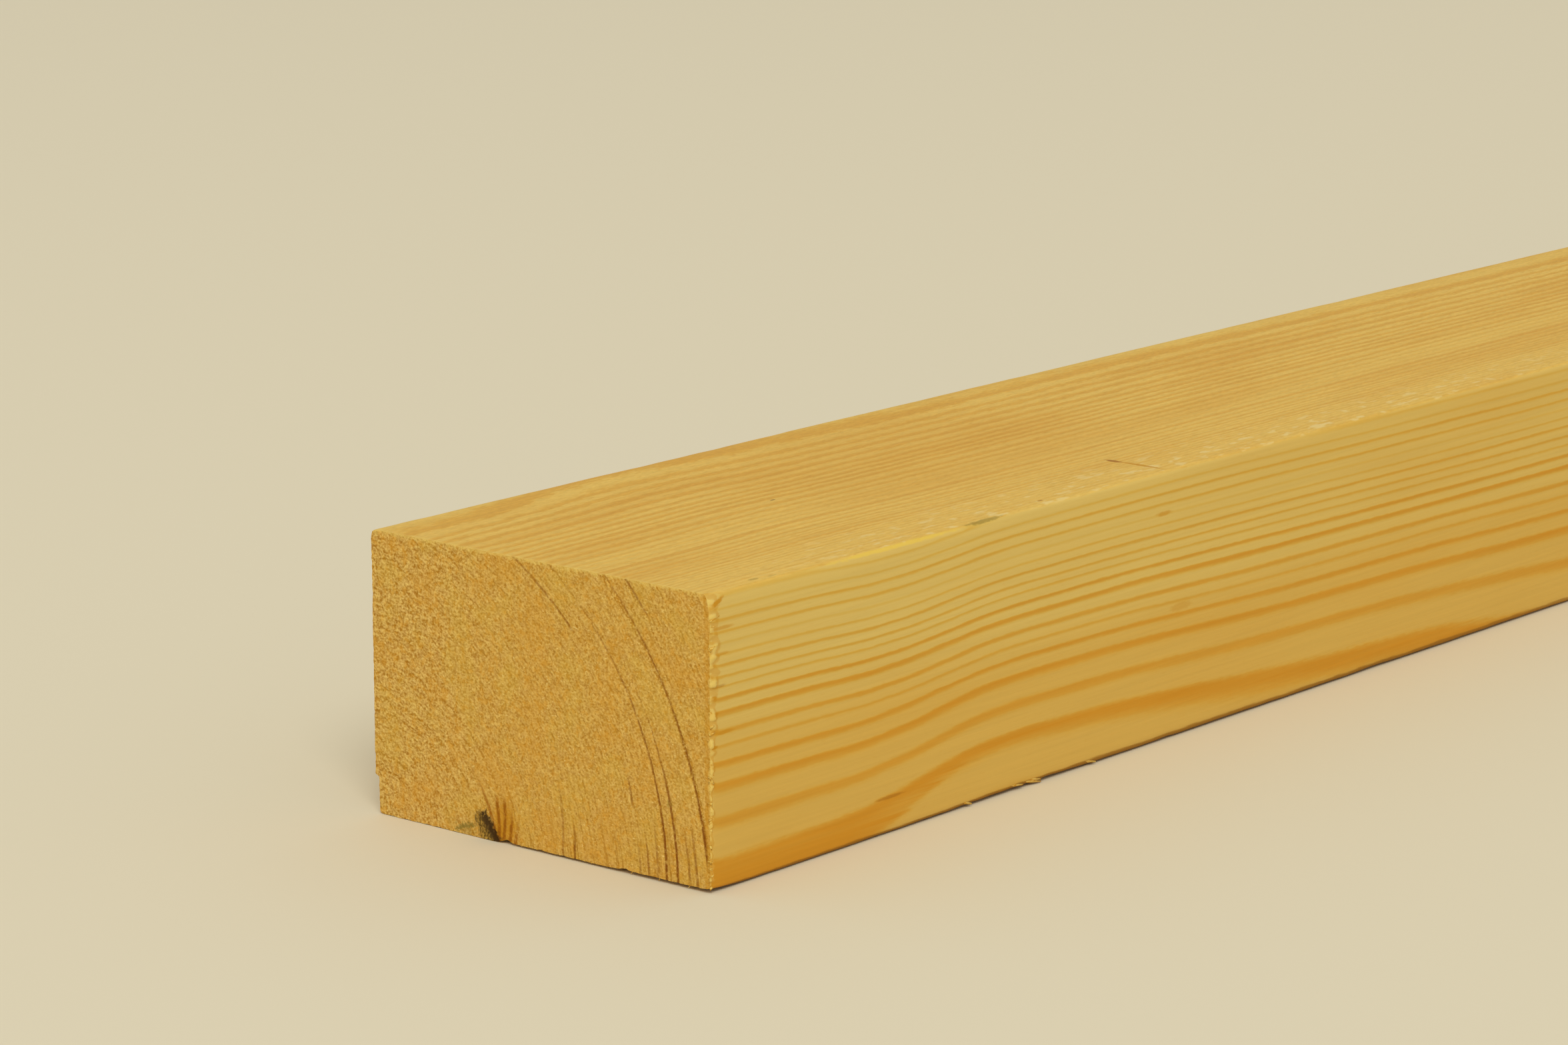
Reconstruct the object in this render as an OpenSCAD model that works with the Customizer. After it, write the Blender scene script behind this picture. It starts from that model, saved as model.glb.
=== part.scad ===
// A plank of planed softwood, sawn square at both ends and lying on a broad face.
// The grain runs along X, the broad faces lie across Y, and Z points up.
// The origin is the middle of the face it rests on. Sizes are millimetres.

/* [Stock] */
// Length along the grain, as sold
length = 1800; // [600:50:6000]
// Width of the two broad faces
width = 73; // [40:1:225]
// Thickness from broad face to broad face
thickness = 48; // [20:1:100]

/* [Planed edges] */
// Radius that the planer left on the four long edges
arris_r = 0.8; // [0.2:0.1:3]

/* [Broken splinter] */
// Depth of the break in the far side, where it meets the sawn end
splinter_depth = 0.8; // [0.2:0.1:3]
// Height of the break above the resting face
splinter_height = 6.5; // [3:0.5:15]
// Length over which the break runs out along the grain
splinter_length = 32; // [10:1:80]

/* [Hidden] */
$fn = 64;

// Angle at which the break runs out to the far side
splinter_angle = atan(splinter_depth / splinter_length);
// How far a cutting block stands clear of the wood that it cuts
cut_clear = 2;

// Rounded rectangle, width across and height up, standing on its bottom edge
module planed_section(across, up, radius) {
    translate([-across / 2 + radius, 0])
        square([across - 2 * radius, up]);
    translate([-across / 2, radius])
        square([across, up - 2 * radius]);
    for (side = [-1, 1])
        for (level = [radius, up - radius])
            translate([side * (across / 2 - radius), level])
                circle(r = radius);
}

// The planed stock, before anything broke off it
module stock() {
    rotate([90, 0, 90])
        translate([0, 0, -length / 2])
            linear_extrude(length)
                planed_section(width, thickness, arris_r);
}

// The wood that split away: a strip at the foot of the far side that tapers
// from the sawn end until it runs out
module splinter() {
    translate([-length / 2 + splinter_length, width / 2, -cut_clear])
        rotate([0, 0, splinter_angle])
            translate([-2 * splinter_length, 0, 0])
                cube([2 * splinter_length, splinter_depth + cut_clear, splinter_height + cut_clear]);
}

module plank() {
    color("burlywood")
        difference() {
            stock();
            splinter();
        }
}

plank();
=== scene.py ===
import math
import random

import bmesh
import bpy
from mathutils import Matrix, Vector, noise


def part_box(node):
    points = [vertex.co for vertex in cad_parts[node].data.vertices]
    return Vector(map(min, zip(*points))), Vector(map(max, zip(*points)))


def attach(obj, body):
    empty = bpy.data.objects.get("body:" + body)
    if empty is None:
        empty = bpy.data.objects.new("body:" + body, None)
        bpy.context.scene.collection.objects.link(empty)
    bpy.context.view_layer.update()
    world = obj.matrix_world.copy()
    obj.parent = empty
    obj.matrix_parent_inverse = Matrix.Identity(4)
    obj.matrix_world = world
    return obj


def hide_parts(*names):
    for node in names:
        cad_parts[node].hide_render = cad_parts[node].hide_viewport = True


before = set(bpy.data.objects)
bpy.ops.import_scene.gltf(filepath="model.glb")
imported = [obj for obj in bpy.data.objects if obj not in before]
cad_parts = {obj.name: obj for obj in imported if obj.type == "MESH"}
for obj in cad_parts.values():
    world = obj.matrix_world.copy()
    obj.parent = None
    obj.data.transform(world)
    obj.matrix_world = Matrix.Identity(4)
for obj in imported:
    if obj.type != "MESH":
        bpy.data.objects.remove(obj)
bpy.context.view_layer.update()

# Plank: one length of pine, sawn from beside the heart of a log and planed on its four long
# faces, with the long edges just rounded. Both ends are rough saw cuts with torn edges, and a
# splinter has split away from the foot of the back side at the near end.
MM = 0.001
low, high = (Vector(corner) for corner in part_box("plank"))
length, width, thickness = (high - low) / MM
arris = 0.8
splinter_depth = 0.8
splinter_height = 6.5
splinter_length = 32.0
shape_noise = random.Random(11)

plank_mesh = bmesh.new()
bmesh.ops.create_cube(plank_mesh, size=1.0)
bmesh.ops.scale(plank_mesh, vec=high - low, verts=plank_mesh.verts)
bmesh.ops.translate(plank_mesh, vec=(low + high) / 2, verts=plank_mesh.verts)
long_edges = [
    edge for edge in plank_mesh.edges if abs(edge.verts[0].co.x - edge.verts[1].co.x) > length * MM / 2
]
bmesh.ops.bevel(
    plank_mesh, geom=long_edges, offset=arris * MM, segments=4, profile=0.5, affect="EDGES", material=-1
)
PLANED, SAWN, TORN = 0, 1, 2
for face in plank_mesh.faces:
    face.material_index = SAWN if abs(face.normal.x) > 0.9 else PLANED


def row_places(size, gap, extra=()):
    """Where lengthwise cuts cross a face of this size in mm: close together by its two edges."""
    by_edge = [arris, 2.0, 4.0]
    inner = size - 2 * by_edge[-1]
    count = math.ceil(inner / gap)
    middle = [by_edge[-1] + inner * step / count for step in range(1, count)]
    return [*by_edge, *extra, *middle, *(size - place for place in by_edge)]


def cut_across(place, normal):
    """One flat cut through the whole plank, which leaves a line of points on every face it meets."""
    everything = plank_mesh.verts[:] + plank_mesh.edges[:] + plank_mesh.faces[:]
    bmesh.ops.bisect_plane(plank_mesh, geom=everything, dist=1e-6, plane_co=place, plane_no=normal)


broad_gap = 8.5
narrow_gap = 7.5
by_splinter = (splinter_height - 0.2, splinter_height + 0.2)
for across in row_places(width, broad_gap):
    cut_across((0, high.y - across * MM, 0), (0, 1, 0))
for up in row_places(thickness, narrow_gap, by_splinter):
    cut_across((0, 0, low.z + up * MM), (0, 0, 1))

# Rings of points along the plank: how far each stretch reaches, in mm, and into how many cells it is
# cut. They lie very close at the sawn ends and close along the worn near stretch.
rim_depth = 3.0
stretches = (
    (rim_depth, 9),
    (12.0, 9),
    (130.0, 94),
    (330.0, 50),
    (length - 30.0, 110),
    (length - rim_depth, 9),
    (length, 6),
)
stations = [0.0]
for reach, cells in stretches:
    start = stations[-1]
    stations += [start + (reach - start) * (cell + 1) / cells for cell in range(cells)]
full_runs = [
    edge for edge in plank_mesh.edges if abs(edge.verts[0].co.x - edge.verts[1].co.x) > length * MM / 2
]
bmesh.ops.subdivide_edges(plank_mesh, edges=full_runs, cuts=len(stations) - 2, use_grid_fill=True)
for vert in plank_mesh.verts:
    ring = round((vert.co.x - low.x) / (high.x - low.x) * (len(stations) - 1))
    vert.co.x = low.x + stations[ring] * MM


def refine_end(end_x, depth, pitch):
    """Cuts a sawn end and the rim of wood behind it into cells of about this pitch, in mm."""
    for axis in (1, 2):
        alike = {}
        for edge in plank_mesh.edges:
            run = edge.verts[1].co - edge.verts[0].co
            if max(abs(vert.co.x - end_x) for vert in edge.verts) > (depth + 0.01) * MM:
                continue
            if abs(run[axis]) < 0.99 * run.length:
                continue
            cuts = round(run.length / (pitch * MM)) - 1
            if cuts > 0:
                alike.setdefault(cuts, []).append(edge)
        for cuts, edges in alike.items():
            bmesh.ops.subdivide_edges(plank_mesh, edges=edges, cuts=cuts, use_grid_fill=True)


near_pitch = 0.32
far_pitch = 0.6
refine_end(low.x, rim_depth, near_pitch)
refine_end(high.x, rim_depth, far_pitch)

# The unwrapping that keeps the grain sharp when it is stored as a picture: four long strips, with
# the near stretch drawn out, and below them the two ends side by side
map_size = 1024.0
map_gap = 5.0
strip_scale = 2.7
end_scale = 6.2
near_stretch = 330.0
near_share = 0.5
strip_starts = {}
strip_top = map_gap
for side, side_width in (("top", width), ("bottom", width), ("front", thickness), ("back", thickness)):
    strip_starts[side] = strip_top
    strip_top += side_width * strip_scale + map_gap
bake_map = plank_mesh.loops.layers.uv.new("OFBake")


def map_place(face, place):
    """Where a point of a face lies on the unwrapping, from 0 to 1 both ways."""
    along, across, up = (place.x - low.x) / MM, (high.y - place.y) / MM, (place.z - low.z) / MM
    if face.material_index == SAWN:
        shift = map_gap if face.normal.x < 0 else 2 * map_gap + width * end_scale
        return (shift + across * end_scale) / map_size, (strip_top + up * end_scale) / map_size
    if along < near_stretch:
        share = near_share * along / near_stretch
    else:
        share = near_share + (1 - near_share) * (along - near_stretch) / (length - near_stretch)
    if abs(face.normal.z) > abs(face.normal.y):
        side, offset = ("top" if face.normal.z > 0 else "bottom"), across
    else:
        side, offset = ("front" if face.normal.y < 0 else "back"), up
    x = map_gap + share * (map_size - 2 * map_gap)
    return x / map_size, (strip_starts[side] + offset * strip_scale) / map_size


plank_mesh.normal_update()
for face in plank_mesh.faces:
    for loop in face.loops:
        loop[bake_map].uv = map_place(face, loop.vert.co)

# Cracks that opened along the growth rings of the near end: the ring's distance from the heart, how
# that grows and bends with height, the crack's lowest and highest point and its depth, all in mm, and
# how dark the shade painted into it is
heart_drop = 5.0
crack_half_width = 0.24
end_cracks = (
    (42.0, 0.20, 0.0, -9.0, 18.0, 0.03, 0.45),
    (44.6, 0.14, 0.0, -9.0, 7.5, 0.12, 0.8),
    (57.5, 0.13, 0.0, 10.0, 19.0, 0.1, 0.8),
    (58.6, 0.03, 0.0, -9.0, 9.0, 0.04, 0.5),
    (60.4, 0.03, 0.0, -9.0, 10.0, 0.04, 0.65),
    (61.6, 0.0, 0.0, 36.0, 60.0, 0.05, 0.7),
    (62.3, 0.05, 0.0, -9.0, 13.0, 0.05, 0.5),
    (63.95, 0.085, -0.00095, -9.0, 58.0, 0.13, 0.95),
    (66.3, 0.065, -0.0006, -9.0, 40.0, 0.13, 0.95),
    (68.9, 0.02, 0.0, -9.0, 13.0, 0.05, 0.5),
    (70.4, 0.02, 0.0, -9.0, 15.0, 0.06, 0.6),
    (72.75, 0.016, 0.0, 3.5, 70.0, 0.15, 1.0),
    (76.7, 0.0, 0.0, 41.0, 60.0, 0.05, 0.8),
)
# Seeds of the noise that each kind of damage is made with
near_seed = 3
far_seed = 57
foot_seed = 31
splinter_seed = 41
wear_seed = 70


def fade(value, start, full):
    """0 before start, 1 past full, smooth between; start may be the larger one."""
    share = min(max((value - start) / (full - start), 0.0), 1.0)
    return share * share * (3 - 2 * share)


def rough(x, y, size, seed):
    """Smooth noise from -1 to 1 with bumps of about this size in mm."""
    return noise.noise((x / size + 0.37, y / size + 0.61, seed * 7.13))


def crack_full(lowest, highest):
    """The height below which a crack is fully open; above it, it closes towards its highest point."""
    return highest - 0.7 * (highest - max(lowest, 0.0))


def sawn_depth(across, up, seed):
    """How far the saw cut into the end at one point, in mm."""
    grit = 0.06 * rough(across, up, 0.7, seed) + 0.05 * rough(across, up, 0.4, seed + 1)
    sweep = 0.05 * rough(across, up, 6.0, seed + 2)
    radius = math.hypot(across, up + heart_drop)
    crack = 0.0
    for ring, growth, bend, lowest, highest, depth, _ in end_cracks:
        reach = fade(up, lowest, lowest + 3) * fade(up, highest, crack_full(lowest, highest))
        aside = radius - ring - growth * up - bend * up * up
        crack = max(crack, depth * reach * math.exp(-(aside / crack_half_width) ** 2))
    return 0.12 + grit + sweep + crack


def torn_amount(side, run, seed):
    """How much of an end's edge the saw tore away at one place along that edge, in mm."""
    tears = max(0.0, rough(run, 0.0, 1.6, seed)) + 0.7 * max(0.0, rough(run, 3.0, 0.7, seed + 1))
    if side == "bottom":
        notch = 0.5 * math.exp(-((run - 29.4) / 0.9) ** 2) + 0.25 * math.exp(-((run - 55.0) / 0.9) ** 2)
        return 0.06 + 0.34 * fade(run, 26, 31) + 0.2 * fade(run, 50, 55) + 0.15 * tears + notch
    return {"front": 0.1 + 0.25 * tears, "back": 0.04 + 0.15 * tears, "top": 0.03 + 0.12 * tears}[side]


def fringe(end_gap, up, seed):
    """The fibres that the saw bent over the front edge: their cover from 0 to 1, and clumps from -1 to 1."""
    reach = 0.8 + 1.7 * fade(up, 10, 36) + 1.1 * rough(0.0, up, 1.3, seed + 5)
    cover = fade(end_gap, reach, 0.35 * reach)
    clumps = rough(0.4 * end_gap, up, 1.0, seed + 6) + 0.7 * rough(0.4 * end_gap, up, 0.5, seed + 7)
    return cover, min(max(clumps, -1.0), 1.0)


def worn_amount(along, seed):
    """How much handling has rubbed off one long edge at one place along it, in mm."""
    broad_wear = max(0.0, rough(along, 0.0, 23.0, seed))
    small_wear = max(0.0, rough(along, 5.0, 5.0, seed))
    return 0.08 + 0.12 * broad_wear + 0.08 * small_wear


def foot_tear(along):
    """How far fibres torn from the front foot have opened a gap under it, in mm."""
    stretch = (0.05 + 0.2 * fade(along, 320, 220)) * (0.4 + 0.6 * fade(along, 30, 66))
    stretch += 0.2 * fade(along, 60, 66) * fade(along, 104, 94)
    strands = max(0.0, rough(along, 0.0, 2.6, foot_seed + 1))
    ragged = 0.8 + 0.35 * rough(along, 0.0, 7.0, foot_seed) + 0.4 * strands
    return stretch * max(0.0, ragged)


def corner_chip(along, up):
    """The flake broken from the top of the near front corner: its depth into the front, in mm."""
    return 0.7 * max(0.0, 1 - along / 3.6 - (thickness - up) / 2.9)


# How far the damage reaches, in mm: what the saw tore, along the wood and in from its faces, the wear
# round the long edges, the torn front foot, up and across, the broken splinter, the corner flake, and
# the bent fibres, in from the front and along the wood
tear_reach = 16.0
tear_rim = 2.5
wear_rim = 2.2
foot_rim_up = 2.5
foot_rim_across = 10.0
splinter_rim = 4.0
flake_rim = 4.0
fringe_rim = 1.3
fringe_reach = 4.0
long_corners = (("bottom", "back"), ("bottom", "front"), ("top", "back"), ("top", "front"))
torn_layer = plank_mesh.verts.layers.float.new("torn")
for vert in plank_mesh.verts:
    along, across, up = (vert.co.x - low.x) / MM, (high.y - vert.co.y) / MM, (vert.co.z - low.z) / MM
    is_near = along < length / 2
    end_gap = along if is_near else length - along
    seed = near_seed if is_near else far_seed
    gaps = {"back": across, "front": width - across, "bottom": up, "top": thickness - up}
    runs = {"back": up, "front": up, "bottom": across, "top": across}
    inward = dict.fromkeys(gaps, 0.0)
    if end_gap < tear_reach:
        for number, side in enumerate(gaps):
            run_out = 5.0 if side == "bottom" else 0.8
            tear = torn_amount(side, runs[side], seed + 10 * number) * math.exp(-end_gap / run_out)
            inward[side] += tear * max(0.0, 1 - gaps[side] / tear_rim)
    for number, (level, flank) in enumerate(long_corners):
        closeness = max(0.0, 1 - gaps[level] / wear_rim) * max(0.0, 1 - gaps[flank] / wear_rim)
        wear = worn_amount(along, wear_seed + number) if closeness else 0.0
        inward[level] += wear * closeness
        inward[flank] += wear * closeness
    under_front = max(0.0, 1 - up / foot_rim_up) * max(0.0, 1 - gaps["front"] / foot_rim_across)
    if under_front:
        inward["bottom"] += foot_tear(along) * under_front
    if up < splinter_height and along < splinter_length:
        split = splinter_depth * (1 - along / splinter_length)
        split += 0.08 * rough(along, up, 3.0, splinter_seed)
        inward["back"] += max(0.0, split) * max(0.0, 1 - across / splinter_rim)
    if gaps["front"] < flake_rim:
        inward["front"] += corner_chip(along, up) * (1 - gaps["front"] / flake_rim)
    by_front = max(0.0, 1 - gaps["front"] / fringe_rim)
    if by_front and end_gap < fringe_reach:
        cover, clumps = fringe(end_gap, up, seed)
        cover *= by_front * (1.0 if is_near else 0.6)
        inward["front"] -= cover * (0.4 * max(clumps, 0.0) + 0.2 * min(clumps, 0.0))
        vert[torn_layer] = cover * (0.5 + 0.5 * clumps)
    if end_gap < 1e-3:
        relief = sawn_depth(across, up, seed)
        vert.co.x += relief * MM if is_near else -relief * MM
    vert.co.y += (inward["front"] - inward["back"]) * MM
    vert.co.z += (inward["bottom"] - inward["top"]) * MM

# Loose fibres that the saw and the planer left standing: thin slivers rooted in the edges. Each has a
# cell of its own on the unwrapping, with its faces side by side in it.
sliver_count = 0
sliver_cell = 9.0
sliver_step = 1.3
sliver_face = ((0, 0), (1.0, 0), (1.0, 5.0), (0, 5.0))


def add_sliver(root, tip, thick):
    """One thin tapered splinter from root to tip, in mm from the near end, the back and the foot."""
    global sliver_count
    ends = [
        Vector((low.x + along * MM, high.y - across * MM, low.z + up * MM))
        for along, across, up in (root, tip)
    ]
    run = ends[1] - ends[0]
    stand = Matrix.Translation((ends[0] + ends[1]) / 2) @ run.to_track_quat("Z", "Y").to_matrix().to_4x4()
    made = bmesh.ops.create_cone(
        plank_mesh, cap_ends=True, segments=4, radius1=thick * MM / 2, radius2=thick * MM / 8,
        depth=run.length, matrix=stand,
    )
    corner = Vector((map_gap + sliver_cell * sliver_count, strip_top + thickness * end_scale + map_gap))
    faces = {face for vert in made["verts"] for face in vert.link_faces}
    for number, face in enumerate(sorted(faces, key=lambda face: face.index)):
        face.material_index = TORN
        for loop, step in zip(face.loops, sliver_face):
            loop[bake_map].uv = (corner + Vector((sliver_step * number, 0)) + Vector(step)) / map_size
    sliver_count += 1


for _ in range(24):
    up = shape_noise.uniform(1.0, 45.0)
    reach = (0.7 + 1.5 * fade(up, 14, 36)) * shape_noise.uniform(0.5, 1.2)
    add_sliver(
        (shape_noise.uniform(0.1, 0.4), width - 0.3, up),
        (reach, width - 0.05, up + shape_noise.uniform(-0.8, 0.8)),
        shape_noise.uniform(0.5, 1.0),
    )
for across in (33.0, 47.5, 56.5, 62.0, 68.5):
    add_sliver((0.9, across, 0.9), (0.1, across + shape_noise.uniform(-0.4, 0.4), 0.25), 0.3)
# Those of the front foot: where each starts along it, how far it reaches and how high its tip is
foot_slivers = (
    (63.0, 3.0, 0.5),
    (75.5, 4.5, 0.8),
    (79.5, 5.5, 0.3),
    (81.0, 4.0, 0.7),
    (96.5, 4.0, 0.5),
)
for start, reach, rise in foot_slivers:
    add_sliver((start, width - 0.7, 1.4), (start + reach, width + 0.1, rise), 1.0)

plank_mesh.normal_update()
for face in plank_mesh.faces:
    face.smooth = True
for edge in plank_mesh.edges:
    kinds = {face.material_index for face in edge.link_faces}
    edge.smooth = len(kinds) == 1
plank_data = bpy.data.meshes.new("plank_wood")
plank_mesh.to_mesh(plank_data)
plank_mesh.free()
plank = bpy.data.objects.new("plank_wood", plank_data)
bpy.context.scene.collection.objects.link(plank)

# Colours of the wood, from its pale spring growth to the resin in its knots
SAP_EARLY = (0.66, 0.465, 0.122)
SAP_PALE = (0.635, 0.405, 0.068)
SAP_LATE = (0.59, 0.28, 0.024)
HEART_EARLY = (0.635, 0.395, 0.08)
HEART_PALE = (0.625, 0.355, 0.05)
HEART_LATE = (0.59, 0.262, 0.016)
TOP_EARLY = (0.735, 0.472, 0.098)
TOP_PALE = (0.695, 0.402, 0.060)
TOP_LATE = (0.65, 0.34, 0.04)
# Sawn end tones; the bright and deep ones also paint light on its lumps and shade in its pits
SAWN_BRIGHT = (0.80, 0.54, 0.145)
SAWN_MIDDLE = (0.64, 0.37, 0.06)
SAWN_DARK_AND_PIT_SHADE = (0.37, 0.157, 0.006)
SAWN_ORANGE = (0.64, 0.30, 0.025)
SAWN_MAUVE = (0.60, 0.335, 0.09)
# Painted highlights on the sawn end
SAWN_GLINT = (0.86, 0.62, 0.20)
SAWN_YELLOW = (0.64, 0.42, 0.05)
TORN_FIBRE = (0.78, 0.55, 0.13)
TORN_SHADE = (0.55, 0.25, 0.012)
LIFTED_FIBRE = (0.79, 0.60, 0.22)
RESIN_YELLOW = (0.78, 0.53, 0.06)
RESIN_BROWN = (0.33, 0.115, 0.003)
RESIN_ORANGE = (0.54, 0.24, 0.008)
GREY_STAIN = (0.23, 0.165, 0.025)
KNOT_GREY = (0.10, 0.055, 0.006)
KNOT_BROWN = (0.022, 0.007, 0.001)
# Painted shade inside the cracks of the near end
CRACK_SHADE = (0.23, 0.07, 0.002)
# Painted shade under the front foot
FOOT_SHADE_BROWN = (0.30, 0.125, 0.008)

# The places of a colour mix's own sockets among those of its node
MIX_AMOUNT, MIX_UNDER, MIX_OVER, MIX_RESULT = 0, 6, 7, 2


def feed(tree, value, socket):
    """Gives a socket its value, or links it to the socket that makes the value."""
    if isinstance(value, bpy.types.NodeSocket):
        tree.links.new(value, socket)
    elif socket.type == "RGBA":
        socket.default_value = (*value, 1.0)
    else:
        socket.default_value = value


def maths(tree, operation, *values, clamp=False):
    """One sum on values or sockets."""
    made = tree.nodes.new("ShaderNodeMath")
    made.operation = operation
    made.use_clamp = clamp
    for value, socket in zip(values, made.inputs):
        feed(tree, value, socket)
    return made.outputs[0]


def vector_maths(tree, operation, *values):
    """One sum on vectors; a length comes out as a value."""
    made = tree.nodes.new("ShaderNodeVectorMath")
    made.operation = operation
    for value, socket in zip(values, made.inputs):
        feed(tree, value, socket)
    return made.outputs["Value" if operation == "LENGTH" else "Vector"]


def ramp(tree, value, start, full, smooth=True):
    """0 before start and 1 past full, as a mask; start may be the larger one."""
    made = tree.nodes.new("ShaderNodeMapRange")
    made.interpolation_type = "SMOOTHSTEP" if smooth else "LINEAR"
    for place, given in enumerate((value, start, full, 0.0, 1.0)):
        feed(tree, given, made.inputs[place])
    return made.outputs[0]


def mottle(tree, place, grain, detail=2.0, roughness=0.5):
    """Noise around 0.5 whose blotches are about grain = (along, across, up) mm."""
    made = tree.nodes.new("ShaderNodeTexNoise")
    made.inputs["Scale"].default_value = 1.0
    made.inputs["Detail"].default_value = detail
    made.inputs["Roughness"].default_value = roughness
    feed(tree, vector_maths(tree, "DIVIDE", place, grain), made.inputs["Vector"])
    return made.outputs[0]


def blend(tree, amount, under, over, way="MIX"):
    """Lays one colour or value over another by this amount."""
    made = tree.nodes.new("ShaderNodeMix")
    made.data_type = "RGBA"
    made.blend_type = way
    feed(tree, amount, made.inputs[MIX_AMOUNT])
    feed(tree, under, made.inputs[MIX_UNDER])
    feed(tree, over, made.inputs[MIX_OVER])
    return made.outputs[MIX_RESULT]


def drawn_curve(tree, value, points, handle):
    """A curve through given points, 0 to 1 both ways."""
    made = tree.nodes.new("ShaderNodeFloatCurve")
    line = made.mapping.curves[0]
    line.points[0].location = points[0]
    line.points[1].location = points[-1]
    for point in points[1:-1]:
        line.points.new(*point)
    for point in line.points:
        point.handle_type = handle
    made.mapping.update()
    feed(tree, value, made.inputs["Value"])
    return made.outputs[0]


def new_group(name, inputs, outputs):
    """An empty shader group with named inputs and outputs: its tree, what goes in, and its way out."""
    group = bpy.data.node_groups.new(name, "ShaderNodeTree")
    for socket_name, kind in inputs:
        group.interface.new_socket(socket_name, in_out="INPUT", socket_type=kind)
    for socket_name, kind in outputs:
        group.interface.new_socket(socket_name, in_out="OUTPUT", socket_type=kind)
    return group, group.nodes.new("NodeGroupInput").outputs, group.nodes.new("NodeGroupOutput").inputs


def place_group(tree, group, **values):
    """Puts a group into a tree with these inputs, and gives its outputs."""
    made = tree.nodes.new("ShaderNodeGroup")
    made.node_tree = group
    for name, value in values.items():
        feed(tree, value, made.inputs[name])
    return made.outputs


# Growth rings: the outer edge of each year's growth in mm from the heart, and how dark its late
# wood is. The first years by the heart follow a rule, the later ones were measured one by one.
young_years = 27
young_reach = 53.7
young_widths = [2.75 - 0.058 * year + 0.22 * math.sin(2.4 * year) for year in range(young_years)]
ring_edges = []
ring_reach = 0.0
for year, ring_width in enumerate(young_widths):
    ring_reach += ring_width * young_reach / sum(young_widths)
    ring_edges.append((ring_reach, 0.62 + 0.25 * math.sin(1.7 * year)))
ring_edges[-1] = (young_reach, 0.9)
ring_edges += [
    (54.67, 0.7), (55.57, 0.7), (56.72, 0.8), (58.10, 0.8), (59.39, 0.7), (60.56, 0.75), (61.76, 0.8),
    (62.91, 0.8), (64.13, 0.8), (66.04, 0.7), (67.5, 0.6), (69.0, 0.45), (70.3, 0.4), (71.7, 0.4),
    (73.5, 1.0), (74.86, 0.68), (76.32, 0.88), (77.42, 0.82), (78.31, 0.5), (79.15, 0.75), (80.47, 0.95),
    (81.42, 0.92), (82.32, 0.5), (83.05, 0.6), (83.97, 0.72), (84.80, 0.47), (85.73, 0.3), (86.75, 0.6),
    (87.80, 0.65), (88.75, 0.42), (89.9, 0.4), (90.9, 0.4), (92.0, 0.4),
]
broad_ring = 73.5
ring_count = len(ring_edges)
ring_span = ring_edges[-1][0]
# How the heart wanders along the plank: place along, shift across and shift up, all in mm
heart_wander = (
    (0, 0.1, -0.2), (10, 0.1, -0.25), (22, 0.18, -0.6), (33, 0.35, -1.3), (44, 0.72, -2.1),
    (52, 1.0, -2.35), (60, 1.3, -2.35), (68, 1.48, -2.05), (78, 1.5, -1.75), (88, 1.4, -1.55),
    (104, 1.2, -1.2), (124, 0.85, -0.8), (150, 0.5, -0.6), (180, 0.25, -0.6), (210, -0.05, -0.4),
    (240, -0.4, -0.1), (290, -0.95, 0.5), (340, -1.3, 0.9), (450, -0.8, 0.2), (560, 0.6, -0.8),
    (640, 1.3, -0.6), (760, 0.4, 0.6), (900, -1.2, 1.4), (1050, -2.2, 1.0), (1180, -1.2, -0.4),
    (1300, 0.6, -1.0), (1400, 1.5, -0.3), (1520, 0.7, 0.8), (1660, -0.8, 1.3), (1800, -1.8, 0.6),
)
most_wander = 4.0

rings, rings_in, rings_out = new_group(
    "growth_rings",
    [("Place", "NodeSocketVector"), ("Ripple", "NodeSocketFloat"), ("Soft", "NodeSocketFloat")],
    [(name, "NodeSocketFloat") for name in ("Late", "Radius")],
)
parts = rings.nodes.new("ShaderNodeSeparateXYZ")
feed(rings, rings_in["Place"], parts.inputs[0])
portion = maths(rings, "SQRT", maths(rings, "DIVIDE", parts.outputs["X"], length, clamp=True))
shifts = []
for column in (1, 2):
    points = [(math.sqrt(row[0] / length), 0.5 + row[column] / (2 * most_wander)) for row in heart_wander]
    wander = drawn_curve(rings, portion, points, "AUTO")
    wander = maths(rings, "MULTIPLY", maths(rings, "SUBTRACT", wander, 0.5), 2 * most_wander)
    shifts.append(wander)
# The heart's rise and fall moves the rings less by the back than by the front
back_share = 0.35
lean = maths(rings, "MULTIPLY_ADD", parts.outputs["Y"], (1 - back_share) / width, back_share)
from_heart_across = maths(rings, "SUBTRACT", parts.outputs["Y"], shifts[0])
from_heart_up = maths(rings, "ADD", parts.outputs["Z"], heart_drop)
from_heart_up = maths(rings, "SUBTRACT", from_heart_up, maths(rings, "MULTIPLY", shifts[1], lean))
radius = maths(
    rings, "SQRT",
    maths(
        rings, "ADD",
        maths(rings, "POWER", from_heart_across, 2.0), maths(rings, "POWER", from_heart_up, 2.0),
    ),
)
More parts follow.
